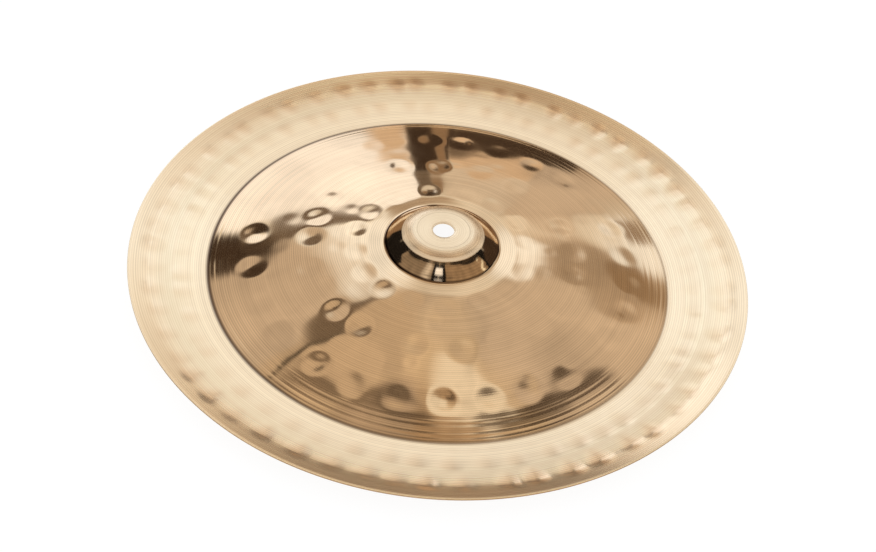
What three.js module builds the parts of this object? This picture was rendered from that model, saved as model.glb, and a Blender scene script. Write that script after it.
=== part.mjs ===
// China cymbal, 16 inches across: one sheet of bronze, pressed, spun, hammered and lathed.
// Units are millimetres and +Z is up. The cymbal lies bell up on the underside of its valley.
// The origin is on the axis of the hole, level with what the cymbal stands on.
import * as THREE from "three";

// Rings of the cymbal, as diameters
const RIM_DIAMETER = 406.4;
const VALLEY_DIAMETER = 307.2;
const BELL_DIAMETER = 75.6;
const HOLE_DIAMETER = 14;

// Rises of the upper face, each measured from the ring before it
const FLANGE_RISE = 13;
const BOW_RISE = 19.2;
const BELL_RISE = 11.9;

// The sheet, which the lathe leaves thinner from the foot of the bell out to the rim
const BELL_THICKNESS = 1.2;
const RIM_THICKNESS = 0.9;
const HOLE_CHAMFER = 0.2;

// Flange: a broad cone, and a steeper band along the rim
const EDGE_BAND_WIDTH = 13.2;
const EDGE_BAND_RISE = 4.7;
const EDGE_BAND_BEND = 40;

// Valley: a narrow flat land between the bow and the flange, which the cymbal stands on
const VALLEY_LAND = 1.8;
const VALLEY_BEND = 3;

// Bow: a shallow cone that stands a little above the straight line from its top to the valley
const BOW_CROWN = 1.3;
const BOW_FACETS = 5;

// Root of the bow: a nearly level ring round the foot of the bell
const ROOT_WIDTH = 10.6;
const ROOT_RISE = 0.8;

// Bell: a wall that steepens towards its foot, and a rounded shoulder up to the flat top
const FOOT_BEND = 3.5;
const WALL_WIDTH = 10.4;
const WALL_RISE = 8.7;
const WALL_BULGE = 0.4;
const SHOULDER_WIDTH = 8.6;
const SHOULDER_CROWN = 0.65;
const SHOULDER_BEND = 1.6;
const TOP_BEND = 12;

// How far a flat facet may lie inside the true curve
const FACET_SAG = 0.17;
const EDGE_FACETS = 4;

/** Thickness of the sheet at a distance from the axis. */
function thicknessAt(radius) {
  const past = THREE.MathUtils.inverseLerp(BELL_DIAMETER / 2, RIM_DIAMETER / 2, radius);
  return THREE.MathUtils.lerp(BELL_THICKNESS, RIM_THICKNESS, Math.max(0, past));
}

/** Number of facets that keep an arc within FACET_SAG of its true curve. */
function facetsOfArc(radius, angle) {
  const widest = 2 * Math.acos(Math.max(0, 1 - FACET_SAG / radius));
  return Math.max(2, Math.ceil(angle / widest));
}

/** Points of a stretch from one corner to the next that bulges upwards as a parabola, ends left out. */
function bulgedStretch(from, to, bulge, facets) {
  return Array.from({ length: facets - 1 }, (_, i) => {
    const along = (i + 1) / facets;
    return {
      r: THREE.MathUtils.lerp(from.r, to.r, along),
      z: THREE.MathUtils.lerp(from.z, to.z, along) + 4 * bulge * along * (1 - along),
      bend: 0,
    };
  });
}

/** Corners of the upper face from the hole out to the rim, each with the radius on the inside of its bend. */
function upperCorners() {
  const landRadius = (VALLEY_DIAMETER - VALLEY_LAND) / 2;
  const landHeight = thicknessAt(landRadius);
  const rimRadius = RIM_DIAMETER / 2;
  const footRadius = BELL_DIAMETER / 2;
  const footHeight = landHeight + BOW_RISE;
  const topHeight = footHeight + BELL_RISE;

  const hole = { r: HOLE_DIAMETER / 2, z: topHeight, bend: 0 };
  const foot = { r: footRadius, z: footHeight, bend: FOOT_BEND };
  const shoulder = { r: footRadius - WALL_WIDTH, z: footHeight + WALL_RISE, bend: SHOULDER_BEND };
  const top = { r: shoulder.r - SHOULDER_WIDTH, z: topHeight, bend: TOP_BEND };
  const root = { r: footRadius + ROOT_WIDTH, z: footHeight - ROOT_RISE, bend: 0 };
  const valleyIn = { r: landRadius, z: landHeight, bend: VALLEY_BEND };
  const valleyOut = { r: landRadius + VALLEY_LAND, z: landHeight, bend: VALLEY_BEND };
  const rim = { r: rimRadius, z: landHeight + FLANGE_RISE, bend: 0 };
  const turn = { r: rimRadius - EDGE_BAND_WIDTH, z: rim.z - EDGE_BAND_RISE, bend: EDGE_BAND_BEND };

  return [
    hole,
    top,
    ...bulgedStretch(top, shoulder, SHOULDER_CROWN, 2),
    shoulder,
    ...bulgedStretch(shoulder, foot, WALL_BULGE, 2),
    foot,
    root,
    ...bulgedStretch(root, valleyIn, BOW_CROWN, BOW_FACETS),
    valleyIn,
    valleyOut,
    turn,
    rim,
  ];
}

/** Slope of the straight line from one corner to another. */
function slopeBetween(from, to) {
  return Math.atan2(to.z - from.z, to.r - from.r);
}

/** A point on the upper face with the point under it on the lower face, square through the sheet. */
function throughSheet(r, z, slope) {
  const thickness = thicknessAt(r);
  return {
    upper: new THREE.Vector2(r, z),
    lower: new THREE.Vector2(r + Math.sin(slope) * thickness, z - Math.cos(slope) * thickness),
  };
}

/** Both faces of the sheet where it turns at a corner: an arc, or a single point where it has no bend. */
function bentCorner(before, corner, after) {
  const slopeIn = slopeBetween(before, corner);
  const slopeOut = slopeBetween(corner, after);
  if (corner.bend === 0) return [throughSheet(corner.r, corner.z, (slopeIn + slopeOut) / 2)];

  const turn = Math.abs(slopeOut - slopeIn);
  const crowned = slopeOut < slopeIn ? 1 : -1;
  const outside = crowned > 0 ? thicknessAt(corner.r) : 0;
  const room = Math.min(
    Math.hypot(corner.r - before.r, corner.z - before.z),
    Math.hypot(after.r - corner.r, after.z - corner.z),
  );
  const reach = Math.min((corner.bend + outside) * Math.tan(turn / 2), room / 2);
  const radius = reach / Math.tan(turn / 2);
  const centreR = corner.r - reach * Math.cos(slopeIn) + crowned * radius * Math.sin(slopeIn);
  const centreZ = corner.z - reach * Math.sin(slopeIn) - crowned * radius * Math.cos(slopeIn);
  const facets = facetsOfArc(radius, turn);
  return Array.from({ length: facets + 1 }, (_, i) => {
    const slope = THREE.MathUtils.lerp(slopeIn, slopeOut, i / facets);
    return throughSheet(
      centreR - crowned * radius * Math.sin(slope),
      centreZ + crowned * radius * Math.cos(slope),
      slope,
    );
  });
}

/** The rim's half-round edge, from the upper face round to the lower one; it touches the rim's diameter. */
function rimEdge(before, rim) {
  const slope = slopeBetween(before, rim);
  const radius = RIM_THICKNESS / 2;
  const back = (radius * (1 + Math.sin(slope))) / Math.cos(slope);
  const centreR = rim.r + radius * Math.sin(slope) - back * Math.cos(slope);
  const centreZ = rim.z - radius * Math.cos(slope) - back * Math.sin(slope);
  return Array.from({ length: EDGE_FACETS + 1 }, (_, i) => {
    const angle = slope + Math.PI / 2 - (Math.PI * i) / EDGE_FACETS;
    return new THREE.Vector2(centreR + radius * Math.cos(angle), centreZ + radius * Math.sin(angle));
  });
}

/** The chamfered wall of the hole, from the lower face up to the upper one. */
function holeEdge(hole) {
  const bottom = hole.z - BELL_THICKNESS;
  return [
    new THREE.Vector2(hole.r + HOLE_CHAMFER, bottom),
    new THREE.Vector2(hole.r, bottom + HOLE_CHAMFER),
    new THREE.Vector2(hole.r, hole.z - HOLE_CHAMFER),
    new THREE.Vector2(hole.r + HOLE_CHAMFER, hole.z),
  ];
}

/** The closed section of the cymbal: upper face outwards, rim, lower face inwards, hole. */
function section() {
  const corners = upperCorners();
  const faces = corners
    .slice(1, -1)
    .flatMap((corner, i) => bentCorner(corners[i], corner, corners[i + 2]));
  const rim = rimEdge(corners.at(-2), corners.at(-1));
  const hole = holeEdge(corners[0]);
  const upper = faces.map((point) => point.upper);
  const lower = faces.map((point) => point.lower).reverse();
  const outline = [...upper, ...rim, ...lower, ...hole];
  return [...outline, outline[0].clone()];
}

/** The cymbal, turned from its section. */
function makeCymbal() {
  const bronze = new THREE.MeshStandardMaterial({
    color: 0xe3bf8b,
    roughness: 0.22,
    metalness: 1,
  });
  const quarterFacets = facetsOfArc(RIM_DIAMETER / 2, Math.PI / 2);
  const turned = new THREE.LatheGeometry(section().reverse(), 4 * quarterFacets);
  turned.rotateX(Math.PI / 2);
  const cymbal = new THREE.Mesh(turned, bronze);
  cymbal.name = "cymbal";
  return cymbal;
}

const group = new THREE.Group();
group.add(makeCymbal());

export default group;
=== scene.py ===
# China cymbal, 16 inches: the looks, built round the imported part. Metres, +Z up, bell on top.
# The cymbal is one sheet of bronze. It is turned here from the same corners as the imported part, only finer,
# and then hammered: three rings of round marks in the bow, and three rows of close marks in the flange.
import math
import random
from functools import partial

import bmesh
import bpy
import numpy as np
from mathutils import Matrix, Vector


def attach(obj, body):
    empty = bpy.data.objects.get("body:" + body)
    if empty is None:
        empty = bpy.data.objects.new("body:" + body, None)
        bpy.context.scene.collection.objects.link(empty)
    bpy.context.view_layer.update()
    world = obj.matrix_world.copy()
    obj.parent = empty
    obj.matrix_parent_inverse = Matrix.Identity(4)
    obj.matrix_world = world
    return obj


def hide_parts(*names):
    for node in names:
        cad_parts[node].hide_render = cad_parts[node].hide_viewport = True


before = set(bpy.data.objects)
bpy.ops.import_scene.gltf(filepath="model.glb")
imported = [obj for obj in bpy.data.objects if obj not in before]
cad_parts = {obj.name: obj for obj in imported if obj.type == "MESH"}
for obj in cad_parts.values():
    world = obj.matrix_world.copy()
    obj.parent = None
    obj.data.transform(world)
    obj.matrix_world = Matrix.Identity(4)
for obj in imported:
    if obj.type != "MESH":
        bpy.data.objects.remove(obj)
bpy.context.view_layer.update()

MM = 0.001

# Rings of the cymbal, as diameters, and the rises between them, in millimetres
RIM_DIAMETER = 406.4
VALLEY_DIAMETER = 307.2
BELL_DIAMETER = 75.6
HOLE_DIAMETER = 14
FLANGE_RISE = 13
BOW_RISE = 19.2
BELL_RISE = 11.9

# The sheet, which the lathe leaves thinner from the foot of the bell out to the rim
BELL_THICKNESS = 1.2
RIM_THICKNESS = 0.9
HOLE_CHAMFER = 0.2

# Where the sheet turns
EDGE_BAND_WIDTH = 13.2
EDGE_BAND_RISE = 4.7
EDGE_BAND_BEND = 40
VALLEY_LAND = 1.8
VALLEY_BEND = 3
BOW_CROWN = 1.3
ROOT_WIDTH = 10.6
ROOT_RISE = 0.8
FOOT_BEND = 3.5
WALL_WIDTH = 10.4
WALL_RISE = 8.7
WALL_BULGE = 0.4
SHOULDER_WIDTH = 8.6
SHOULDER_CROWN = 0.65
SHOULDER_BEND = 1.6
TOP_BEND = 12

# How finely the sheet is turned
SECTORS = 10
SECTOR_STEPS = 44
BOW_FACETS = 118
WALL_FACETS = 4
SHOULDER_FACETS = 6
BEND_FACETS = 4
EDGE_FACETS = 6
FLAT_STEP = 2
MERGE_DISTANCE = 0.001

# Hammer marks in the bow, ring by ring. Each mark has its angle in degrees and its depth.
OUTER_MARKS = (
    (10, 0.16), (23, 0.2), (35, 0.14), (49, 0.18), (62, 0.2), (75, 0.16), (87, 0.3), (98, 0.3),
    (117, 0.12), (131, 0.1), (147, 0.1), (163, 0.3), (178, 0.4), (193, 0.3), (208, 0.16), (222, 0.12),
    (237, 0.34), (250, 0.14), (262, 0.14), (275, 0.34), (288, 0.2), (300, 0.14), (312, 0.12), (333, 0.2),
    (346, 0.24), (358, 0.2),
)
MIDDLE_MARKS = (
    (8, 0.2), (25, 0.24), (41, 0.16), (58, 0.18), (77, 0.16), (95, 0.34), (114, 0.3), (136, 0.16),
    (152, 0.32), (167, 0.4), (180, 0.36), (200, 0.3), (213, 0.12), (226, 0.36), (240, 0.3), (264, 0.2),
    (283, 0.22), (300, 0.2), (318, 0.12), (336, 0.12), (355, 0.34),
)
INNER_MARKS = (
    (12, 0.1), (34, 0.12), (56, 0.12), (78, 0.14), (103, 0.3), (129, 0.24), (153, 0.26), (173, 0.3),
    (195, 0.24), (215, 0.2), (234, 0.26), (255, 0.1), (277, 0.1), (299, 0.12), (321, 0.1), (342, 0.12),
)

# Each ring has a radius, the width of its marks, and the marks. A mark lies up to so many millimetres off its
# ring, and its width varies by these shares.
HAMMER_RINGS = ((125.5, 23, OUTER_MARKS), (88.5, 23, MIDDLE_MARKS), (56.5, 19.5, INNER_MARKS))
RING_WANDER = 1.5
MARK_WIDTH_SHARES = (0.92, 1.08)

# Lighter blows between the rings: how many, their widths and their depths
LIGHT_BLOWS = 90
LIGHT_BLOW_WIDTHS = (11, 19)
LIGHT_BLOW_DEPTHS = (0.02, 0.06)

# Close hammer marks in the flange. Each row has a radius, a number of marks, and their width round the
# axis, their length along the radius and their depth.
FLANGE_ROWS = ((190.5, 58, 17, 18, 0.48), (172, 56, 17, 17, 0.26), (159, 82, 9, 8, 0.05))

# How unevenly they lie: along the row as a share of their spacing, off the row in millimetres, and in depth
FLANGE_SPACING_SHARE = 0.2
FLANGE_WANDER = 1.2
FLANGE_DEPTH_SHARES = (0.5, 1.25)

# How crisp the edge of a mark is, and how far the flange's marks lean towards the rim
SOFTEST_EDGE = 2.5
BOW_CRISPNESS = 0.2
FLANGE_CRISPNESS = 0.7
FLANGE_LEAN = 0.4

# The depth at which the painted shade in a hollow of the flange is at its darkest
FULL_SHADE_DEPTH = 0.5

# The hammered part of the bow is slightly uneven: it has so many waves of this height, this far apart
WAVES = 14
WAVE_HEIGHT = 0.022
WAVE_SPACINGS = (24, 60)
HAMMERED_FROM = 44
HAMMERED_TO = 136
HAMMERED_FADE = 8

# The band between the hammered rings and the valley is turned last, and keeps rings of the tool
TURNED_BAND_WIDTH = 18
TURNED_BAND_FADES = (4, 3)
TOOL_RINGS = 6
TOOL_RING_HEIGHT = 0.0045
TOOL_RING_SPACINGS = (2.2, 4.5)
TOOL_RING_STOP = 1

SEED = 16

# Settings that many nodes share
SMOOTH = {"interpolation_type": "SMOOTHSTEP"}
COLOURS = {"data_type": "RGBA"}
PLUS = {"operation": "ADD"}
MINUS = {"operation": "SUBTRACT"}
TIMES = {"operation": "MULTIPLY"}
TIMES_PLUS = {"operation": "MULTIPLY_ADD"}


def add(tree, kind, settings=None, **links):
    """Adds a node. Settings are its own values; links feed its sockets, by name or as i0, i1 and so on."""
    node = tree.nodes.new(kind)
    for name, value in (settings or {}).items():
        setattr(node, name, value)
    for name, value in links.items():
        socket = node.inputs[int(name[1:]) if name[1:].isdigit() else name.replace("_", " ")]
        if isinstance(value, bpy.types.NodeSocket):
            tree.links.new(value, socket)
        else:
            socket.default_value = value
    return node


def linear(code):
    """Linear colour of an sRGB hex value, with an alpha of 1."""
    shares = [int(code[i : i + 2], 16) / 255 for i in (1, 3, 5)]
    return (*(s / 12.92 if s <= 0.04045 else ((s + 0.055) / 1.055) ** 2.4 for s in shares), 1)


# The sheet's section, in millimetres: corners are radius, height and the radius inside the bend


def thickness_at(radius):
    """Thickness of the sheet at a distance from the axis."""
    past = (radius - BELL_DIAMETER / 2) / (RIM_DIAMETER / 2 - BELL_DIAMETER / 2)
    return BELL_THICKNESS + (RIM_THICKNESS - BELL_THICKNESS) * max(0, past)


def bulged_stretch(start, end, bulge, facets):
    """Corners along a parabola from one corner to the next, ends left out."""
    points = []
    for i in range(1, facets):
        along = i / facets
        radius = start[0] + (end[0] - start[0]) * along
        height = start[1] + (end[1] - start[1]) * along
        points.append((radius, height + 4 * bulge * along * (1 - along), 0))
    return points


def upper_corners():
    """Corners of the upper face, from the hole out to the rim."""
    land_radius = (VALLEY_DIAMETER - VALLEY_LAND) / 2
    land_height = thickness_at(land_radius)
    foot_radius = BELL_DIAMETER / 2
    foot_height = land_height + BOW_RISE
    top_height = foot_height + BELL_RISE
    rim_radius = RIM_DIAMETER / 2
    rim_height = land_height + FLANGE_RISE

    hole = (HOLE_DIAMETER / 2, top_height, 0)
    foot = (foot_radius, foot_height, FOOT_BEND)
    shoulder = (foot_radius - WALL_WIDTH, foot_height + WALL_RISE, SHOULDER_BEND)
    top = (shoulder[0] - SHOULDER_WIDTH, top_height, TOP_BEND)
    root = (foot_radius + ROOT_WIDTH, foot_height - ROOT_RISE, 0)
    valley_in = (land_radius, land_height, VALLEY_BEND)
    valley_out = (land_radius + VALLEY_LAND, land_height, VALLEY_BEND)
    turn = (rim_radius - EDGE_BAND_WIDTH, rim_height - EDGE_BAND_RISE, EDGE_BAND_BEND)
    rim = (rim_radius, rim_height, 0)

    # Outside the turned band, every second corner of the bow is enough
    bow = bulged_stretch(root, valley_in, BOW_CROWN, BOW_FACETS)
    turned = land_radius - TURNED_BAND_WIDTH
    bow = [corner for i, corner in enumerate(bow) if corner[0] > turned or i % 2]
    return [
        hole,
        top,
        *bulged_stretch(top, shoulder, SHOULDER_CROWN, SHOULDER_FACETS),
        shoulder,
        *bulged_stretch(shoulder, foot, WALL_BULGE, WALL_FACETS),
        foot,
        root,
        *bow,
        valley_in,
        valley_out,
        turn,
        rim,
    ]


def slope_between(start, end):
    """Slope of the straight line from one corner to another."""
    return math.atan2(end[1] - start[1], end[0] - start[0])


def through_sheet(radius, height, slope):
    """A point on the upper face, and the point under it on the lower face."""
    thickness = thickness_at(radius)
    return (radius, height), (radius + math.sin(slope) * thickness, height - math.cos(slope) * thickness)


def bent_corner(before, corner, after):
    """Both faces of the sheet where it turns."""
    slope_in = slope_between(before, corner)
    slope_out = slope_between(corner, after)
    if corner[2] == 0:
        return [through_sheet(corner[0], corner[1], (slope_in + slope_out) / 2)]
    turn = abs(slope_out - slope_in)
    crowned = 1 if slope_out < slope_in else -1
    outside = thickness_at(corner[0]) if crowned > 0 else 0
    room = min(math.dist(before[:2], corner[:2]), math.dist(corner[:2], after[:2]))
    reach = min((corner[2] + outside) * math.tan(turn / 2), room / 2)
    radius = reach / math.tan(turn / 2)
    centre_r = corner[0] - reach * math.cos(slope_in) + crowned * radius * math.sin(slope_in)
    centre_z = corner[1] - reach * math.sin(slope_in) - crowned * radius * math.cos(slope_in)
    points = []
    for i in range(BEND_FACETS + 1):
        slope = slope_in + (slope_out - slope_in) * i / BEND_FACETS
        across = crowned * radius * math.sin(slope)
        up = crowned * radius * math.cos(slope)
        points.append(through_sheet(centre_r - across, centre_z + up, slope))
    return points


def rim_edge(before, rim):
    """The rim's half-round edge, from the upper face to the lower one. It touches the rim's diameter."""
    slope = slope_between(before, rim)
    radius = RIM_THICKNESS / 2
    back = radius * (1 + math.sin(slope)) / math.cos(slope)
    centre_r = rim[0] + radius * math.sin(slope) - back * math.cos(slope)
    centre_z = rim[1] - radius * math.cos(slope) - back * math.sin(slope)
    edge = []
    for i in range(EDGE_FACETS + 1):
        angle = slope + math.pi / 2 - math.pi * i / EDGE_FACETS
        edge.append((centre_r + radius * math.cos(angle), centre_z + radius * math.sin(angle)))
    return edge


def filled(pairs):
    """The same pairs of points with more between them, in steps of about FLAT_STEP."""
    points = [pairs[0]]
    for pair in pairs[1:]:
        before = points[-1]
        count = max(1, round(math.dist(before[0], pair[0]) / FLAT_STEP))
        for i in range(1, count + 1):
            along = i / count
            points.append(
                tuple(tuple(a + (b - a) * along for a, b in zip(old, new)) for old, new in zip(before, pair))
            )
    return points


def section():
    """The closed section: upper face outwards, rim, lower face inwards, hole."""
    corners = upper_corners()
    hole, rim = corners[0], corners[-1]
    bottom = hole[1] - BELL_THICKNESS
    wide = hole[0] + HOLE_CHAMFER
    edge = rim_edge(corners[-2], rim)
    pairs = [((wide, hole[1]), (wide, bottom))]
    for before, corner, after in zip(corners, corners[1:], corners[2:]):
        pairs += bent_corner(before, corner, after)
    pairs.append((edge[0], edge[-1]))
    pairs = filled(pairs)

    # The lower face shows less: outside the bends of the valley it has every second point
    upper = [pair[0] for pair in pairs]
    lower = []
    for i, pair in enumerate(pairs):
        in_valley = abs(pair[1][0] - VALLEY_DIAMETER / 2) < VALLEY_BEND
        if in_valley or i % 2 == 0 or i == len(pairs) - 1:
            lower.append(pair[1])
    wall = [(hole[0], bottom + HOLE_CHAMFER), (hole[0], hole[1] - HOLE_CHAMFER)]
    return upper + edge[1:-1] + lower[::-1] + wall


# Hammering: how far the sheet is driven down at a place


def mark(across, along, width, length, depth, crispness, lean):
    """Height of the sheet in one hammer mark: a shallow round or oval hollow.

    Across and along are the distances of each place from its middle. A crisp mark has a steep edge. One that
    leans has its deepest point nearer the rim, and so a long inner slope and a short outer one.
    """
    half = length / 2 * np.where(along < 0, 1 + lean, 1 - lean)
    out = np.minimum((2 * across / width) ** 2 + (along / half) ** 2, 1)
    return -depth * (1 - out) ** (SOFTEST_EDGE - crispness)


def share_between(value, low, high):
    """0 at low and 1 at high, with a smooth change between them."""
    share = np.clip((value - low) / (high - low), 0, 1)
    return share * share * (3 - 2 * share)


def bow_blows(chance):
    """Every blow in the bow: its radius, its angle, and the width and depth of its mark."""
    blows = []
    for ring, width, marks in HAMMER_RINGS:
        for degrees, depth in marks:
            reach = ring + chance.uniform(-RING_WANDER, RING_WANDER)
            blows.append((reach, math.radians(degrees), width * chance.uniform(*MARK_WIDTH_SHARES), depth))

    nearest, farthest = HAMMERED_FROM + HAMMERED_FADE, HAMMERED_TO - HAMMERED_FADE
    for _ in range(LIGHT_BLOWS):
        at = chance.uniform(0, 2 * math.pi)
        reach = math.sqrt(chance.uniform(nearest**2, farthest**2))
        width = chance.uniform(*LIGHT_BLOW_WIDTHS)
        blows.append((reach, at, width, chance.uniform(*LIGHT_BLOW_DEPTHS)))
    return blows


def flange_hollows(radius, angle, chance):
    """Height of the sheet in the rows of close marks in the flange."""
    hollows = np.zeros_like(radius)
    for row, count, width, length, depth in FLANGE_ROWS:
        for i in range(count):
            at = 2 * math.pi * (i + chance.uniform(-FLANGE_SPACING_SHARE, FLANGE_SPACING_SHARE)) / count
            turn = (angle - at + math.pi) % (2 * math.pi) - math.pi
            reach = row + chance.uniform(-FLANGE_WANDER, FLANGE_WANDER)
            deep = depth * chance.uniform(*FLANGE_DEPTH_SHARES)
            hollows += mark(turn * reach, radius - reach, width, length, deep, FLANGE_CRISPNESS, FLANGE_LEAN)
    return hollows


def hammered(radius, angle):
    """Height of the hammering over the whole sheet, by radius in millimetres and angle in radians.

    Given with it is how far each place lies down in a hollow of the flange, from 0 to 1.
    """
    chance = random.Random(SEED)
    height = np.zeros_like(radius)
    x, y = radius * np.cos(angle), radius * np.sin(angle)
    for reach, at, width, depth in bow_blows(chance):
        across, along = x - reach * math.cos(at), y - reach * math.sin(at)
        height += mark(across, along, width, width, depth, BOW_CRISPNESS, 0)

    uneven = share_between(radius, HAMMERED_FROM, HAMMERED_FROM + HAMMERED_FADE)
    uneven *= share_between(radius, HAMMERED_TO, HAMMERED_TO - HAMMERED_FADE)
    for _ in range(WAVES):
        way, shift = chance.uniform(0, 2 * math.pi), chance.uniform(0, 2 * math.pi)
        spacing = chance.uniform(*WAVE_SPACINGS)
        along = x * math.cos(way) + y * math.sin(way)
        height += uneven * WAVE_HEIGHT * np.cos(2 * math.pi * along / spacing + shift)

    fade_in, fade_out = TURNED_BAND_FADES
    inner = VALLEY_DIAMETER / 2 - TURNED_BAND_WIDTH
    outer = VALLEY_DIAMETER / 2 - TOOL_RING_STOP
    banded = share_between(radius, inner, inner + fade_in) * share_between(radius, outer, outer - fade_out)
    for _ in range(TOOL_RINGS):
        spacing, shift = chance.uniform(*TOOL_RING_SPACINGS), chance.uniform(0, 2 * math.pi)
        height += banded * TOOL_RING_HEIGHT * np.cos(2 * math.pi * radius / spacing + shift)

    hollows = flange_hollows(radius, angle, chance)
    return height + hollows, np.clip(-hollows / FULL_SHADE_DEPTH, 0, 1)


def turned_sheet():
    """The section turned round the axis: first one sector, and then its copies."""
    mesh = bmesh.new()
    corners = [mesh.verts.new((radius * MM, 0, height * MM)) for radius, height in section()]
    edges = [mesh.edges.new(pair) for pair in zip(corners, corners[1:] + corners[:1])]
    axis = {"cent": (0, 0, 0), "axis": (0, 0, 1)}
    sector = 2 * math.pi / SECTORS
    bmesh.ops.spin(mesh, geom=corners + edges, angle=sector, steps=SECTOR_STEPS, use_merge=False, **axis)
    first = mesh.verts[:] + mesh.edges[:] + mesh.faces[:]
    for turn in range(1, SECTORS):
        copy = bmesh.ops.duplicate(mesh, geom=first)["geom"]
        points = [part for part in copy if isinstance(part, bmesh.types.BMVert)]
        bmesh.ops.rotate(mesh, verts=points, cent=(0, 0, 0), matrix=Matrix.Rotation(turn * sector, 3, "Z"))
    bmesh.ops.remove_doubles(mesh, verts=mesh.verts, dist=MERGE_DISTANCE * MM)
    bmesh.ops.recalc_face_normals(mesh, faces=mesh.faces)
    sheet = bpy.data.meshes.new("cymbal_sheet")
    mesh.to_mesh(sheet)
    mesh.free()
    return sheet


def make_cymbal():
    """Turns the sheet, hammers it, and notes on it how deep the hollows of the flange are."""
    sheet = turned_sheet()
    places = np.zeros(3 * len(sheet.vertices), np.float32)
    sheet.vertices.foreach_get("co", places)
    places = places.reshape(-1, 3)
    radius = np.hypot(places[:, 0], places[:, 1]) / MM
    height, hollow = hammered(radius, np.arctan2(places[:, 1], places[:, 0]))
    places[:, 2] += height * MM
    sheet.vertices.foreach_set("co", places.ravel())
    sheet.polygons.foreach_set("use_smooth", [True] * len(sheet.polygons))
    sheet.attributes.new("hollow", "FLOAT", "POINT").data.foreach_set("value", hollow.astype(np.float32))
    sheet.update()
    return bpy.data.objects.new("cymbal_hammered", sheet)


# Colours of the bronze: polished, satin, painted shade along the rim, painted shade in the hollows of the
# flange, and tarnish with painted shade in the corners
POLISHED_BRONZE = "#F0D4AF"
SATIN_BRONZE = "#FFEACA"
RIM_SHADE_BRONZE = "#FCDFB8"
HOLLOW_SHADE_BRONZE = "#CFA67A"
TARNISH_AND_SHADE_BRONZE = "#4A3020"

# Grooves of the lathe tool are a few tenths of a millimetre apart. They are drawn with a coarser pitch, in
# millimetres, so that they show. Their depth is in millimetres too.
GROOVE_PITCH = 1.4
GROOVE_DEPTH = 0.06

# The pitch drifts by so many radians, in rings this far apart. Finer rings, this far apart, lie among the
# grooves. Both change a little round the axis.
PITCH_DRIFT = 5
DRIFT_SPACING = 9
DRIFT_ROUND = 1.2
FINE_SPACING = 0.8
FINE_ROUND = 0.4

# Share of the even grooves in the pattern, its usual range, and the light that its darkest lines keep
GROOVE_SHARE = 0.25
GROOVE_RANGE = (0.15, 0.85)
LEAST_LIGHT = 0.88

# Where the top of the bell meets its wall, as a radius in millimetres
TOP_EDGE = BELL_DIAMETER / 2 - WALL_WIDTH

# Changes of the finish along the radius: the two radii that each runs between, and its value at each of them.
# Top of the bell:
ON_TOP = (TOP_EDGE - 0.5, TOP_EDGE + 0.1, 1, 0)
TOP_PALENESS = (TOP_EDGE - 9, TOP_EDGE - 3, 1, 0)
TOP_GROOVES = (18, 24, 0.2, 0)
TOP_SCATTER = (TOP_EDGE - 12, TOP_EDGE - 5, 0.5, 0.2)
TOP_RING_SCATTER = (TOP_EDGE - 3.2, TOP_EDGE - 1.4, 0, 0.55)

# Turned band of the bow, and from the bow through the valley into the flange
LINE_SHADE = (132, 140, 0.2, 0.28)
FLANGE_PALENESS = (151, 156, 0, 1)
FLANGE_GROOVES = (150, 156, 0.03, 0.06)
FLANGE_SCATTER = (151, 156, 0, 0.7)
ROUGHNESS = (150, 157, 0.07, 0.18)

# Across the flange towards the rim
FLANGE_SCATTER_KEPT = (158, 198, 1, 0.12)
# More scatter at the two sides makes them paler: a painted sheen of the grooves
SHEEN_SIDE_SCATTER = (176, 192, 0, 0.62)
# Painted shade along the rim, darker and warmer
RIM_SHADE_AMOUNT = (180, 196, 0, 1)

# Rings of their own: the radii where each begins, is full, begins to fade and ends, and its strength
SCRIBED_LINE = (16.6, 17.3, 17.5, 18.2, 0.16)
# The foot of the bell and the valley hold tarnish and painted shade
FOOT_TARNISH_AND_SHADE = (36.2, 37.2, 37.6, 38.8, 1.3)
VALLEY_TARNISH_AND_SHADE = (150.6, 152.6, 153, 154.8, 1)

# Amount of tarnish and painted shade in the middle, and how much less there is on the right and more on the
# left
TARNISH_AND_SHADE_AMOUNT = 0.6
TARNISH_AND_SHADE_TILT = 0.3

# Strength of the painted shade in the deepest hollow, and how much the sides lose of it and of the rim's
# painted shade
HOLLOW_SHADE_STRENGTH = 0.48
HOLLOW_SHADE_SIDE_LOSS = 0.36
RIM_SHADE_SIDE_LOSS = 0.9

# How quickly the painted sheen of the sides, where the grooves look paler, grows towards them, as a power
SHEEN_SIDE_POWER = 4

# How much rougher the top of the bell is, and how much more the grooves blur across than along. A quarter
# turn lays them round the axis.
TOP_ROUGHER = 0.2
ANISOTROPY = 0.6
QUARTER_TURN = 0.25


def place_on_sheet(tree):
    """A place on the sheet: its radius in millimetres, and the x and y of its direction from the axis."""
    parts = add(tree, "ShaderNodeSeparateXYZ", i0=add(tree, "ShaderNodeTexCoord").outputs["Object"])
    flat = add(tree, "ShaderNodeCombineXYZ", X=parts.outputs["X"], Y=parts.outputs["Y"])
    reach = add(tree, "ShaderNodeVectorMath", {"operation": "LENGTH"}, i0=flat.outputs[0])
    radius = add(tree, "ShaderNodeMath", {"operation": "DIVIDE"}, i0=reach.outputs["Value"], i1=MM)
    way = add(tree, "ShaderNodeVectorMath", {"operation": "NORMALIZE"}, i0=flat.outputs[0])
    way_parts = add(tree, "ShaderNodeSeparateXYZ", i0=way.outputs[0])
    return radius.outputs[0], way_parts.outputs["X"], way_parts.outputs["Y"]


def change(tree, radius, low, high, start, end):
    """A smooth change along the radius, from start at the low radius to end at the high one."""
    return add(tree, "ShaderNodeMapRange", SMOOTH, i0=radius, i1=low, i2=high, i3=start, i4=end).outputs[0]


def ring_of(tree, along, begins, full, fading, ends, strength):
    """A ring that rises to its strength and fades again. Along makes a change along the radius."""
    rise, fall = along(begins, full, 0, strength), along(fading, ends, 1, 0)
    return add(tree, "ShaderNodeMath", TIMES, i0=rise, i1=fall).outputs[0]


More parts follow.
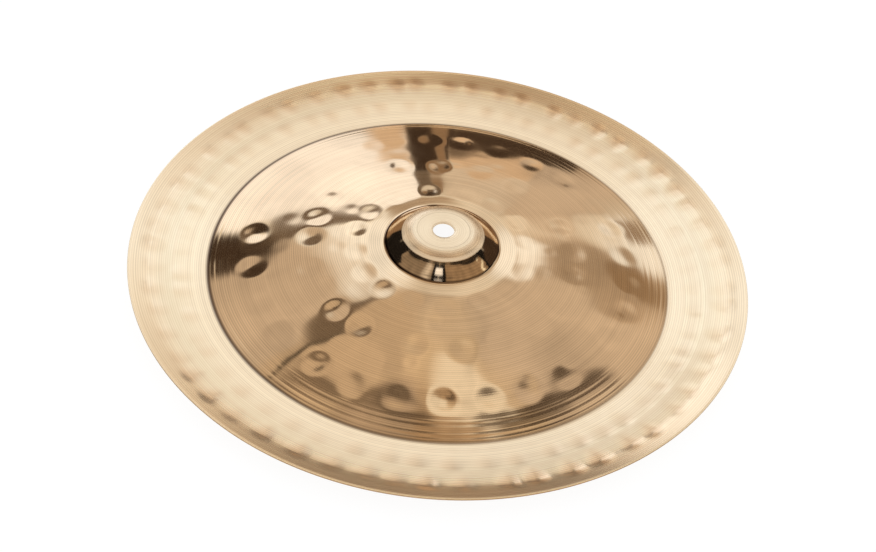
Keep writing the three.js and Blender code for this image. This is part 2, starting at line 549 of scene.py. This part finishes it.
def lathe_grooves(tree, radius, x, y):
    """Pattern of the grooves of the lathe tool: even ones side by side, with uneven ones among them."""

    def rings(spacing, drift):
        """Noise in rings: about so many millimetres from ring to ring, changing slowly round the axis."""
        step = add(tree, "ShaderNodeMath", {"operation": "DIVIDE"}, i0=radius, i1=spacing)
        across = add(tree, "ShaderNodeMath", TIMES, i0=x, i1=drift)
        along = add(tree, "ShaderNodeMath", TIMES, i0=y, i1=drift)
        spot = add(tree, "ShaderNodeCombineXYZ", X=across.outputs[0], Y=along.outputs[0], Z=step.outputs[0])
        return add(tree, "ShaderNodeTexNoise", Vector=spot.outputs[0], Scale=1, Detail=1).outputs[0]

    turns = add(tree, "ShaderNodeMath", TIMES, i0=radius, i1=2 * math.pi / GROOVE_PITCH)
    drift = rings(DRIFT_SPACING, DRIFT_ROUND)
    drifting = add(tree, "ShaderNodeMath", TIMES_PLUS, i0=drift, i1=PITCH_DRIFT, i2=turns.outputs[0])
    groove = add(tree, "ShaderNodeMath", {"operation": "SINE"}, i0=drifting.outputs[0])
    fine = rings(FINE_SPACING, FINE_ROUND)
    return add(tree, "ShaderNodeMath", TIMES_PLUS, i0=groove.outputs[0], i1=GROOVE_SHARE, i2=fine).outputs[0]


def bronze_colour(tree, along, x, side, grooves):
    """Colour of the bronze: gold in the bow, paler where satin and at the sides, painted shade in hollows,
    grooves and corners.
    """
    paleness = add(tree, "ShaderNodeMath", PLUS, i0=along(*FLANGE_PALENESS), i1=along(*TOP_PALENESS))
    polished, satin = linear(POLISHED_BRONZE), linear(SATIN_BRONZE)
    tone = add(tree, "ShaderNodeMix", COLOURS, i0=paleness.outputs[0], i6=polished, i7=satin)

    # Painted shade: the rim is a little darker and warmer, except at the sides, where the painted sheen keeps
    # it pale
    warmer = add(tree, "ShaderNodeMath", TIMES_PLUS, i0=side, i1=-RIM_SHADE_SIDE_LOSS, i2=1)
    rim_shading = add(tree, "ShaderNodeMath", TIMES, i0=along(*RIM_SHADE_AMOUNT), i1=warmer.outputs[0])
    rim_shaded = add(
        tree, "ShaderNodeMix", COLOURS, i0=rim_shading.outputs[0], i6=tone.outputs[2], i7=linear(RIM_SHADE_BRONZE)
    )

    # Painted shade in the hammer marks of the flange: their floors are darker, less so at the sides
    hollow = add(tree, "ShaderNodeAttribute", {"attribute_name": "hollow"})
    darker = add(tree, "ShaderNodeMath", TIMES_PLUS, i0=side, i1=-HOLLOW_SHADE_SIDE_LOSS, i2=HOLLOW_SHADE_STRENGTH)
    hollow_shade = add(tree, "ShaderNodeMath", TIMES, i0=hollow.outputs["Fac"], i1=darker.outputs[0])
    hollow_shaded = add(
        tree, "ShaderNodeMix", COLOURS, i0=hollow_shade.outputs[0], i6=rim_shaded.outputs[2], i7=linear(HOLLOW_SHADE_BRONZE)
    )

    # The grooves keep a little shade in them, more so in the turned band. One line is scribed round the top.
    darkest, lightest = GROOVE_RANGE
    shade = add(tree, "ShaderNodeMapRange", i0=grooves, i1=darkest, i2=lightest, i3=0, i4=1)
    lines = add(
        tree, "ShaderNodeMath", TIMES_PLUS, i0=shade.outputs[0], i1=along(*LINE_SHADE), i2=LEAST_LIGHT
    )
    scribed = ring_of(tree, along, *SCRIBED_LINE)
    kept = add(tree, "ShaderNodeMath", MINUS, i0=lines.outputs[0], i1=scribed)
    lined = add(
        tree, "ShaderNodeVectorMath", {"operation": "SCALE"}, i0=hollow_shaded.outputs[2], Scale=kept.outputs[0]
    )

    # Polishing paste and tarnish, with painted shade, in the valley and at the foot of the bell, darker
    # towards the left
    in_valley = ring_of(tree, along, *VALLEY_TARNISH_AND_SHADE)
    at_foot = ring_of(tree, along, *FOOT_TARNISH_AND_SHADE)
    in_corners = add(tree, "ShaderNodeMath", PLUS, i0=in_valley, i1=at_foot)
    amount = add(tree, "ShaderNodeMath", TIMES_PLUS, i0=x, i1=-TARNISH_AND_SHADE_TILT, i2=TARNISH_AND_SHADE_AMOUNT)
    stain_and_shade = add(tree, "ShaderNodeMath", TIMES, i0=in_corners.outputs[0], i1=amount.outputs[0])
    soiled_and_shaded = add(
        tree, "ShaderNodeMix", COLOURS, i0=stain_and_shade.outputs[0], i6=lined.outputs[0], i7=linear(TARNISH_AND_SHADE_BRONZE)
    )
    return soiled_and_shaded.outputs[2]


def scattered_share(tree, along, y, side, top):
    """Share of the light that the close grooves of the satin parts scatter instead of mirroring it."""
    kept = along(*FLANGE_SCATTER_KEPT)
    on_flange = add(tree, "ShaderNodeMath", TIMES, i0=along(*FLANGE_SCATTER), i1=kept)

    # The outermost ring of the top scatters more on the front side, a painted highlight where the photograph
    # shows it pale
    front = add(tree, "ShaderNodeMath", TIMES_PLUS, i0=y, i1=-0.5, i2=0.5).outputs[0]
    evenly = along(*TOP_SCATTER)
    of_top = add(tree, "ShaderNodeMath", TIMES_PLUS, i0=along(*TOP_RING_SCATTER), i1=front, i2=evenly)
    with_top = add(tree, "ShaderNodeMath", TIMES_PLUS, i0=top, i1=of_top.outputs[0], i2=on_flange.outputs[0])
    # More scatter at the sides: a painted sheen
    sheen_at_sides = along(*SHEEN_SIDE_SCATTER)
    return add(tree, "ShaderNodeMath", TIMES_PLUS, i0=sheen_at_sides, i1=side, i2=with_top.outputs[0]).outputs[0]


def bronze():
    """Tin bronze, turned on a lathe and polished: warm gold, mirror-like in the bow, satin on the flange.

    The bow and the wall of the bell are polished. The flange and the top of the bell are left satin by the
    lathe: their close grooves blur what they show and scatter a part of the light, so they look evenly pale.
    """
    material = bpy.data.materials.new("tin_bronze_lathed")
    material.use_nodes = True
    tree = material.node_tree
    tree.nodes.clear()
    out = add(tree, "ShaderNodeOutputMaterial")
    radius, x, y = place_on_sheet(tree)
    along = partial(change, tree, radius)
    top = along(*ON_TOP)

    # How far a place lies towards either side, where the camera looks along the grooves: there a painted
    # sheen makes the flange paler
    aside = add(tree, "ShaderNodeMath", {"operation": "ABSOLUTE"}, i0=x)
    side = add(tree, "ShaderNodeMath", {"operation": "POWER"}, i0=aside.outputs[0], i1=SHEEN_SIDE_POWER).outputs[0]

    # The grooves are faint in the polished bow, and deeper on the flange and on the top of the bell
    grooves = lathe_grooves(tree, radius, x, y)
    deep = add(tree, "ShaderNodeMath", PLUS, i0=along(*FLANGE_GROOVES), i1=along(*TOP_GROOVES))
    groove_height = add(tree, "ShaderNodeMath", TIMES, i0=grooves, i1=deep.outputs[0])
    depth = GROOVE_DEPTH * MM
    cut = add(tree, "ShaderNodeBump", Strength=1, Distance=depth, Height=groove_height.outputs[0])

    rough = add(tree, "ShaderNodeMath", TIMES_PLUS, i0=top, i1=TOP_ROUGHER, i2=along(*ROUGHNESS))
    shiny = add(tree, "ShaderNodeMath", MINUS, i0=1, i1=scattered_share(tree, along, y, side, top))
    metal = add(
        tree,
        "ShaderNodeBsdfPrincipled",
        Base_Color=bronze_colour(tree, along, x, side, grooves),
        Metallic=shiny.outputs[0],
        Roughness=rough.outputs[0],
        Anisotropic=ANISOTROPY,
        Anisotropic_Rotation=QUARTER_TURN,
        Normal=cut.outputs[0],
    )
    tree.links.new(metal.outputs[0], out.inputs["Surface"])
    return material


# The studio: a pale floor, and a bright tent with a few dark gaps, which the polished metal shows

BLACK = (0.012, 0.01, 0.009)
DARK = (0.055, 0.035, 0.023)
BROWN = (0.17, 0.125, 0.09)
TAWNY = (0.27, 0.21, 0.155)
DIM = (0.3, 0.2, 0.125)
GOLD = (0.34, 0.24, 0.155)
WARM = (0.5, 0.4, 0.31)
TAN = (0.64, 0.545, 0.46)
TOFFEE = (0.62, 0.5, 0.38)
SAND = (0.76, 0.68, 0.6)
CREAM = (0.96, 0.9, 0.8)
PALE = (1.09, 1.15, 1.24)
BUTTER = (1.0, 0.93, 0.75)
AMBER = (0.8, 0.62, 0.46)
WHITE = (1.17, 1.21, 1.32)

# The tent from straight below to straight above: height in degrees, colour
LEVELS = (
    (-90, (0.8, 0.72, 0.62)),
    (-32, (0.45, 0.33, 0.23)),
    (-12, (0.3, 0.19, 0.11)),
    (6, (0.3, 0.19, 0.11)),
    (13, (0.17, 0.12, 0.08)),
    (17, (0.45, 0.36, 0.28)),
    (22, (0.7, 0.63, 0.55)),
    (29, (0.85, 0.81, 0.75)),
    (50, (0.85, 0.81, 0.75)),
    (58, (0.62, 0.53, 0.44)),
    (67, (0.71, 0.58, 0.43)),
    (74, (0.48, 0.35, 0.235)),
    (82, (0.28, 0.175, 0.095)),
    (90, (0.17, 0.105, 0.055)),
)

# Panels of the tent: colour, left and right edges, lower and upper edges, softness of each, in degrees.
# 0 is straight behind the cymbal as the camera sees it, and positive is to the right.
PANELS = (
    # Beside the cymbal and behind the camera: dark walls with warm panels, and a window between them
    (BLACK, -100, -60, 20, 60, 3, 2),
    (BLACK, 60, 96, 20, 60, 3, 2),
    (BLACK, -180, -100, 40, 67, 3, 2),
    (BLACK, 96, 180, 40, 67, 3, 2),
    (BLACK, -82, -42, 4, 27, 1.5, 2),
    (DARK, 36, 72, -8, 26, 2, 2),
    (TAWNY, -163, -84, 34, 64.5, 1.5, 0.5),
    (SAND, -158, -142, 46, 62, 8, 2),
    (GOLD, 75, 162, 25, 64.5, 1.5, 0.5),
    (BUTTER, 76, 88, 28.5, 31, 2, 0.5),
    (BUTTER, 76, 84, 36.5, 38.5, 2, 0.5),
    (WHITE, 170, 180, 53.5, 61, 0.5, 0.5),
    (WHITE, -180, -170, 53.5, 61, 0.5, 0.5),
    # Behind the cymbal, on the left
    (PALE, -22, -7, 35, 54, 3, 3),
    (TAN, -44, -22, 37, 57, 3, 2),
    (TOFFEE, -44, -6, 57, 68, 4, 1),
    (WARM, -44, -4, 69, 76, 4, 1),
    (WHITE, -30, -4.8, 14, 33, 0.4, 1.2),
    (AMBER, -8.5, -4.8, 12.5, 19.5, 1, 1),
    (WARM, -9, 1.5, 31, 36.5, 2, 1),
    (CREAM, -30, -3, -50, -14, 3, 4),
    # Behind the cymbal, in the middle and on the right
    (DARK, -4.8, -2.2, 4, 23, 0.2, 0.7),
    (DIM, -2.2, -0.6, 4, 24, 0.2, 0.7),
    (DARK, -0.6, 0.1, 4, 19, 0.15, 0.4),
    (BROWN, -5, -2, 23, 26.5, 0.3, 0.5),
    (SAND, 0.1, 9, 17.2, 28, 0.3, 0.5),
    (AMBER, 0.1, 9, 17.2, 20.5, 0.3, 0.5),
    (TAN, 9, 18, 17.2, 30, 1.5, 0.5),
    (DARK, 0.1, 13, 9, 17.2, 0.3, 0.3),
    (TAN, 14, 44, 30, 64, 4, 2),
    (WARM, 20, 34, 31, 42, 2, 1.5),
    (PALE, 8, 19, 36, 47, 2, 2),
    (CREAM, 3, 33, 66, 72, 3, 0.5),
)

# Slim dark gaps and light ones: colour, the directions of both ends, width, softness as a share of the width
STREAKS = (
    # Dark gaps over and under the panels behind the camera, which the bell's wall shows at its top and foot
    (BLACK, (-78, 41), (-126, 61), 5, 0.3),
    (BLACK, (-108, 56), (-156, 68), 5, 0.3),
    (BLACK, (-88, 27.5), (-158, 50), 6, 0.3),
    (BLACK, (64, 32), (126, 61), 5, 0.3),
    (BLACK, (108, 56), (156, 68), 5, 0.3),
    (BLACK, (66, 15), (108, 35), 6, 0.3),
    (BLACK, (90, 28), (158, 50), 6, 0.3),
    # Behind the cymbal
    (DARK, (-36, 39), (-25, 35.5), 5, 0.25),
    (DARK, (-36, 34.5), (-28, 34.5), 5, 0.3),
    (BROWN, (-28, 36.5), (-13, 32), 4, 0.3),
    (BLACK, (-42, 59.5), (-30, 57.7), 0.8, 0.4),
    (BLACK, (-32, 57.8), (-24, 58.3), 0.9, 0.4),
    (BROWN, (-31, 57), (-17, 56.5), 2.2, 0.4),
    (PALE, (20, 24), (30, 31), 5, 0.3),
    (GOLD, (21, 23.5), (25, 27), 2.5, 0.3),
    (GOLD, (25, 33), (33, 36.5), 4, 0.25),
    (DARK, (21, 72), (35, 67), 3, 0.25),
    (DARK, (31, 69.5), (40, 60), 5.5, 0.25),
    (DARK, (37, 63), (39, 51), 4, 0.25),
    (BROWN, (-41, 60), (-28, 69.5), 4, 0.3),
    (BROWN, (-32, 68), (-8, 73), 2.4, 0.3),
    (DARK, (-16, 72.3), (7, 74), 2, 0.3),
)

# The cloth of the tent is lit a little unevenly: size of the patches in degrees, their weakest and strongest
# light, and the usual range of the noise that makes them
PATCH_SIZE = 10
PATCH_LIGHT = (0.82, 1.14)
PATCH_RANGE = (0.3, 0.7)

# The floor: half its width in metres, the grey of its paper, and a glow that takes it up to white
FLOOR_REACH = 4
PAPER_GREY = 0.1
PAPER_GLOW = 0.92

# The camera, at the photograph's place: millimetres and degrees
CAMERA_DISTANCE = 900
CAMERA_HEIGHT_ANGLE = 42.485
CAMERA_AIM = (-0.351, -24.896, 13.99)
CAMERA_ROLL = 6.286
CAMERA_LENS = 55.94
SENSOR_WIDTH = 36


def directions(tree):
    """Direction of a ray in degrees: to the right of straight behind the cymbal, and above the horizon."""
    parts = add(tree, "ShaderNodeSeparateXYZ", i0=add(tree, "ShaderNodeTexCoord").outputs["Generated"])
    turn = add(
        tree, "ShaderNodeMath", {"operation": "ARCTAN2"}, i0=parts.outputs["X"], i1=parts.outputs["Y"]
    )
    azimuth = add(tree, "ShaderNodeMath", {"operation": "DEGREES"}, i0=turn.outputs[0])
    rise = add(tree, "ShaderNodeMath", {"operation": "ARCSINE"}, i0=parts.outputs["Z"])
    height = add(tree, "ShaderNodeMath", {"operation": "DEGREES"}, i0=rise.outputs[0])
    return azimuth.outputs[0], height.outputs[0]


def tent_walls(tree, height):
    """The tent's colour at each height, before its panels."""
    level = add(tree, "ShaderNodeMapRange", i0=height, i1=-90.0, i2=90.0)
    walls = add(tree, "ShaderNodeValToRGB", i0=level.outputs[0])
    stops = walls.color_ramp
    stops.interpolation = "EASE"
    while len(stops.elements) < len(LEVELS):
        stops.elements.new(0.5)
    for stop, (degrees, _) in zip(stops.elements, LEVELS):
        stop.position = (degrees + 90) / 180
    for stop, (_, colour) in zip(stops.elements, LEVELS):
        stop.color = (*colour, 1)
    return walls.outputs[0]


def studio_light():
    """The tent, which only mirroring metal shows: everything else sees an even white."""
    world = bpy.data.worlds.new("studio_tent")
    bpy.context.scene.world = world
    world.use_nodes = True
    tree = world.node_tree
    tree.nodes.clear()
    out = add(tree, "ShaderNodeOutputWorld")
    azimuth, height = directions(tree)
    spot = add(tree, "ShaderNodeCombineXYZ", X=azimuth, Y=height)

    def between(value, low, high, soft):
        """1 from low to high, fading to 0 over soft on both sides."""
        up = add(tree, "ShaderNodeMapRange", SMOOTH, i0=value, i1=low - soft, i2=low + soft)
        down = add(tree, "ShaderNodeMapRange", SMOOTH, i0=value, i1=high + soft, i2=high - soft)
        return add(tree, "ShaderNodeMath", TIMES, i0=up.outputs[0], i1=down.outputs[0]).outputs[0]

    def laid_over(under, colour, mask):
        """One colour over what is there already, where the mask is."""
        mixed = add(tree, "ShaderNodeMix", COLOURS, i0=mask.outputs[0], i6=under, i7=(*colour, 1))
        return mixed.outputs[2]

    def panel(under, colour, left, right, low, high, soft_side, soft_edge):
        """Lays a panel of one colour over what is there already."""
        wide = between(azimuth, left, right, soft_side)
        tall = between(height, low, high, soft_edge)
        return laid_over(under, colour, add(tree, "ShaderNodeMath", TIMES, i0=wide, i1=tall))

    def streak(under, colour, start, end, width, soft):
        """Lays a slim oval of one colour from one direction to another over what is there already."""
        oval = add(
            tree,
            "ShaderNodeMapping",
            {"vector_type": "TEXTURE"},
            Vector=spot.outputs[0],
            Location=((start[0] + end[0]) / 2, (start[1] + end[1]) / 2, 0),
            Rotation=(0, 0, math.atan2(end[1] - start[1], end[0] - start[0])),
            Scale=(math.dist(start, end) / 2, width / 2, 1),
        )
        out_by = add(tree, "ShaderNodeVectorMath", {"operation": "LENGTH"}, i0=oval.outputs[0])
        mask = add(tree, "ShaderNodeMapRange", SMOOTH, i0=out_by.outputs["Value"], i1=1 + soft, i2=1 - soft)
        return laid_over(under, colour, mask)

    seen = tent_walls(tree, height)
    for spec in PANELS:
        seen = panel(seen, *spec)
    for spec in STREAKS:
        seen = streak(seen, *spec)

    cloth = add(tree, "ShaderNodeTexNoise", Vector=spot.outputs[0], Scale=1 / PATCH_SIZE, Detail=2.0)
    low, high = PATCH_RANGE
    weak, strong = PATCH_LIGHT
    patches = add(tree, "ShaderNodeMapRange", i0=cloth.outputs[0], i1=low, i2=high, i3=weak, i4=strong)
    tent = add(tree, "ShaderNodeBackground", Color=seen, Strength=patches.outputs[0])
    plain = add(tree, "ShaderNodeBackground", Color=(1, 1, 1, 1), Strength=1.0)
    rays = add(tree, "ShaderNodeLightPath")
    mirrored = rays.outputs["Is Glossy Ray"]
    mix = add(tree, "ShaderNodeMixShader", i0=mirrored, i1=plain.outputs[0], i2=tent.outputs[0])
    tree.links.new(mix.outputs[0], out.inputs["Surface"])


def white_paper():
    """Matt white paper, evenly lit from above, and clear from below."""
    material = bpy.data.materials.new("white_paper_floor")
    material.use_nodes = True
    tree = material.node_tree
    tree.nodes.clear()
    out = add(tree, "ShaderNodeOutputMaterial")
    paper = add(tree, "ShaderNodeBsdfDiffuse", Color=(PAPER_GREY, PAPER_GREY, PAPER_GREY, 1))
    glow = add(tree, "ShaderNodeEmission", Color=(1, 1, 1, 1), Strength=PAPER_GLOW)
    lit = add(tree, "ShaderNodeAddShader", i0=paper.outputs[0], i1=glow.outputs[0])
    clear = add(tree, "ShaderNodeBsdfTransparent")
    side = add(tree, "ShaderNodeNewGeometry")
    below = side.outputs["Backfacing"]
    mix = add(tree, "ShaderNodeMixShader", i0=below, i1=lit.outputs[0], i2=clear.outputs[0])
    tree.links.new(mix.outputs[0], out.inputs["Surface"])
    return material


def lay_floor():
    """A pale floor under the cymbal, seen only by the camera."""
    mesh = bmesh.new()
    bmesh.ops.create_grid(mesh, x_segments=1, y_segments=1, size=FLOOR_REACH)
    sheet = bpy.data.meshes.new("studio_floor")
    mesh.to_mesh(sheet)
    mesh.free()
    floor = bpy.data.objects.new("studio_floor", sheet)
    bpy.context.scene.collection.objects.link(floor)
    sheet.materials.append(white_paper())
    floor.visible_glossy = False
    floor.visible_diffuse = False
    floor.visible_transmission = False
    floor.visible_shadow = False


def set_camera():
    """Sets the camera where the photograph was taken from, with its lens and its roll."""
    rise = math.radians(CAMERA_HEIGHT_ANGLE)
    aim = Vector(CAMERA_AIM)
    place = Vector((0, -CAMERA_DISTANCE * math.cos(rise), CAMERA_DISTANCE * math.sin(rise) + aim.z))
    ahead = (aim - place).normalized()
    right = ahead.cross(Vector((0, 0, 1))).normalized()
    up = right.cross(ahead)
    roll = math.radians(CAMERA_ROLL)
    level = math.cos(roll) * right + math.sin(roll) * up
    upright = math.cos(roll) * up - math.sin(roll) * right
    camera = bpy.data.cameras.new("photograph_camera")
    camera.lens = CAMERA_LENS
    camera.sensor_width = SENSOR_WIDTH
    camera.clip_start = 0.01
    camera.clip_end = 50
    holder = bpy.data.objects.new("photograph_camera", camera)
    bpy.context.scene.collection.objects.link(holder)
    turned = Matrix((level, upright, -ahead)).transposed().to_4x4()
    holder.matrix_world = Matrix.Translation(place * MM) @ turned
    bpy.context.scene.camera = holder


set_camera()
cymbal = make_cymbal()
bpy.context.scene.collection.objects.link(cymbal)
cymbal.data.materials.append(bronze())
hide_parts("cymbal")
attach(cymbal, "root")
lay_floor()
studio_light()
bpy.context.scene.view_settings.view_transform = "Standard"
